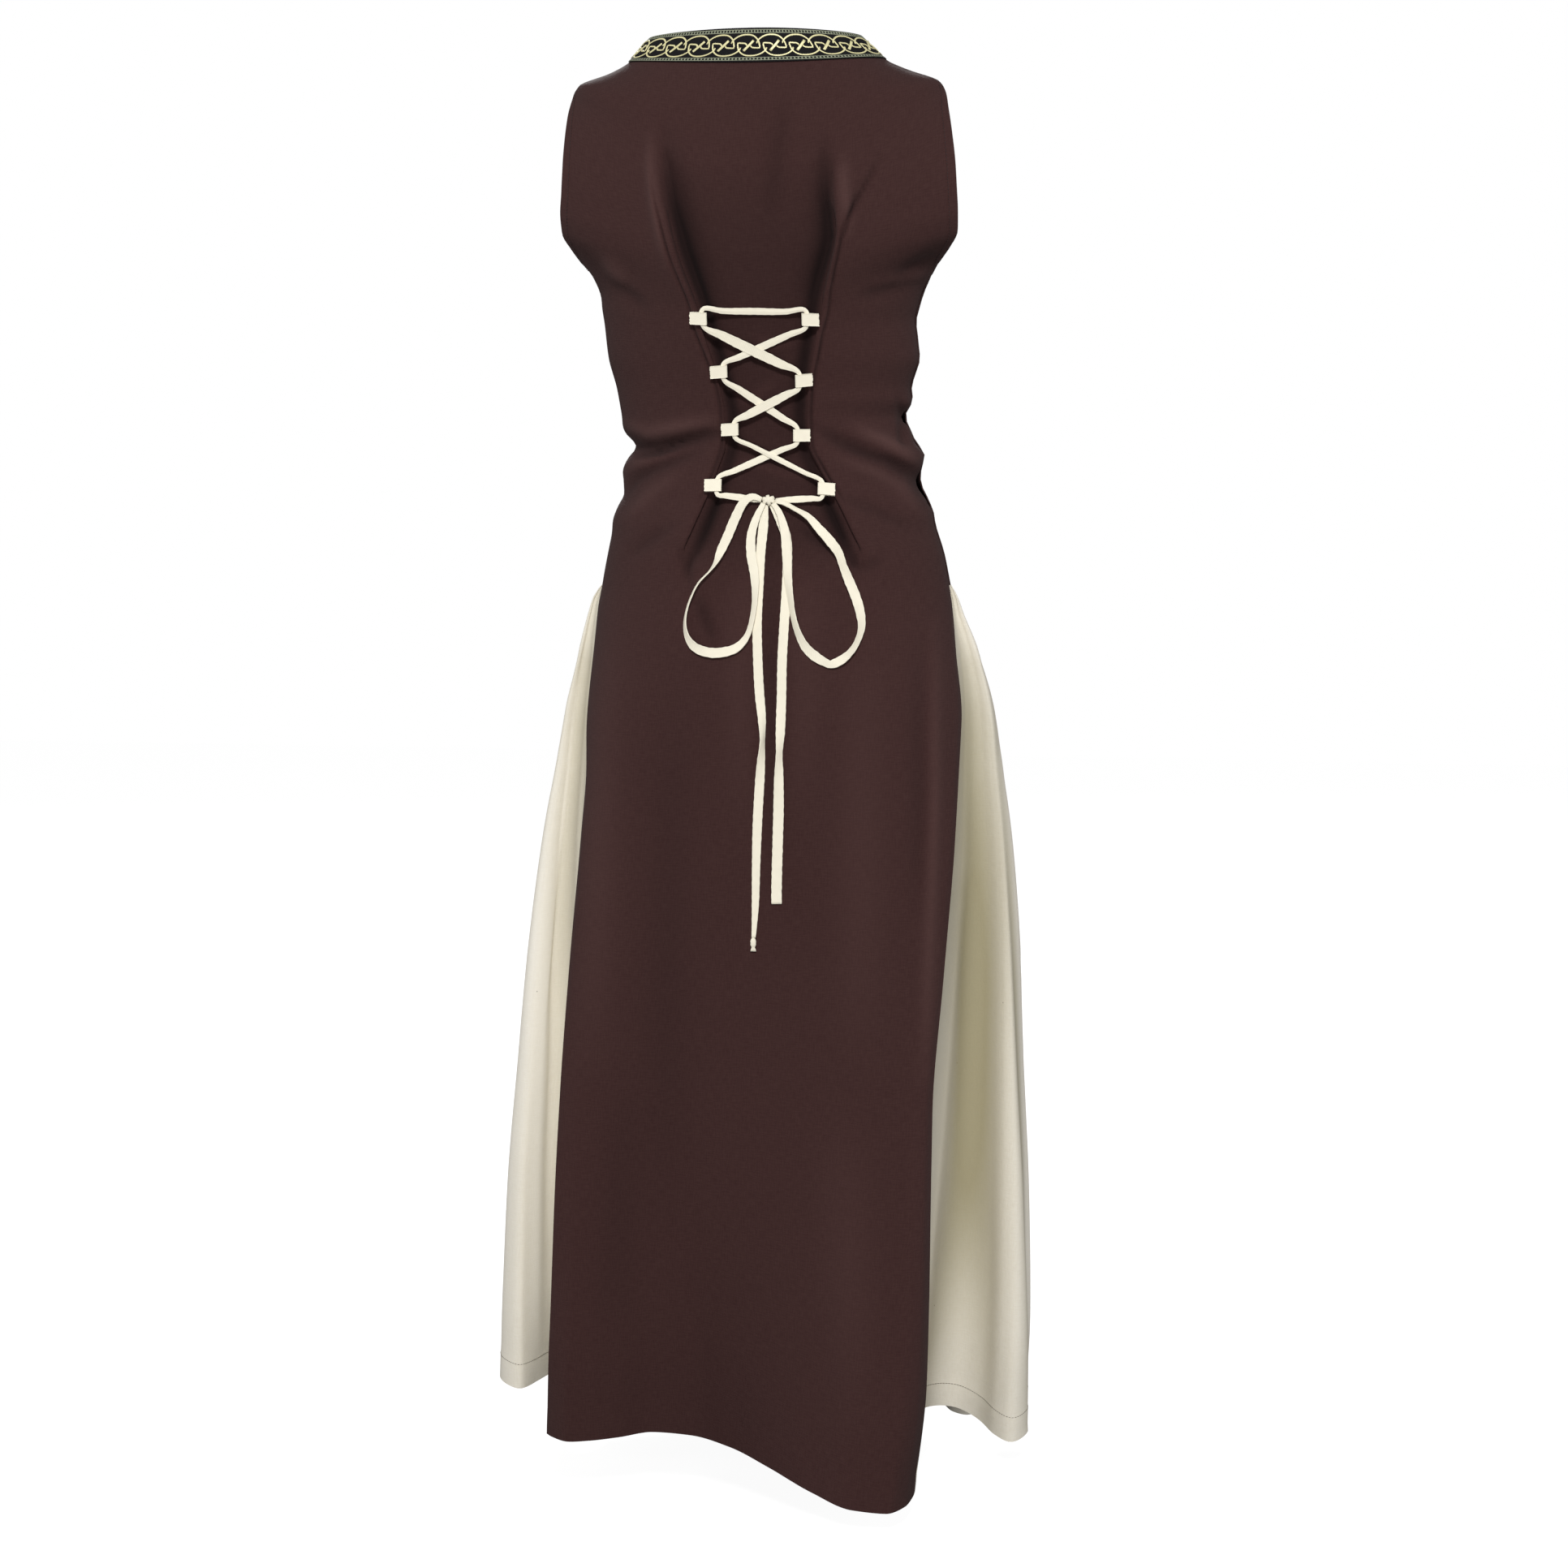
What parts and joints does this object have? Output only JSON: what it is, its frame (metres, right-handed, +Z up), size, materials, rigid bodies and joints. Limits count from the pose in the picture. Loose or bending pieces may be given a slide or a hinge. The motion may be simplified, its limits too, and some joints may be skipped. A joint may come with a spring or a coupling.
{
  "type": "medieval gown",
  "caption": "Sleeveless ankle-length gown in its worn form, with laced back tucks, side gores and a knotwork-braided neck.",
  "frame": {"origin": "middle of the shoulders, at the height where the wearer's shoulders carry the gown", "axes": "+Z up along the gown, +Y towards its back, +X towards the wearer's left"},
  "size_m": [0.5526, 0.3783, 1.4025],
  "materials": {
    "brown_cloth": "matte plain-woven cotton, dark brown",
    "cream_cloth": "matte unbleached cotton canvas",
    "tape": "matte woven cotton tape, natural",
    "braid": "black jacquard braid with pale gold interlace"
  },
  "bodies": {
    "root": {"back_panel": "brown_cloth", "front_panel": "brown_cloth", "gore_left": "cream_cloth", "gore_right": "cream_cloth", "neck_braid": "braid", "lace_loop_l1": "tape", "lace_loop_l2": "tape", "lace_loop_l3": "tape", "lace_loop_l4": "tape", "lace_loop_r1": "tape", "lace_loop_r2": "tape", "lace_loop_r3": "tape", "lace_loop_r4": "tape", "lace_laced": "tape", "lace_knot": "tape", "lace_bow_left": "tape", "lace_bow_right": "tape", "lace_tail_left": "tape", "lace_tail_right": "tape"}
  },
  "joints": []
}
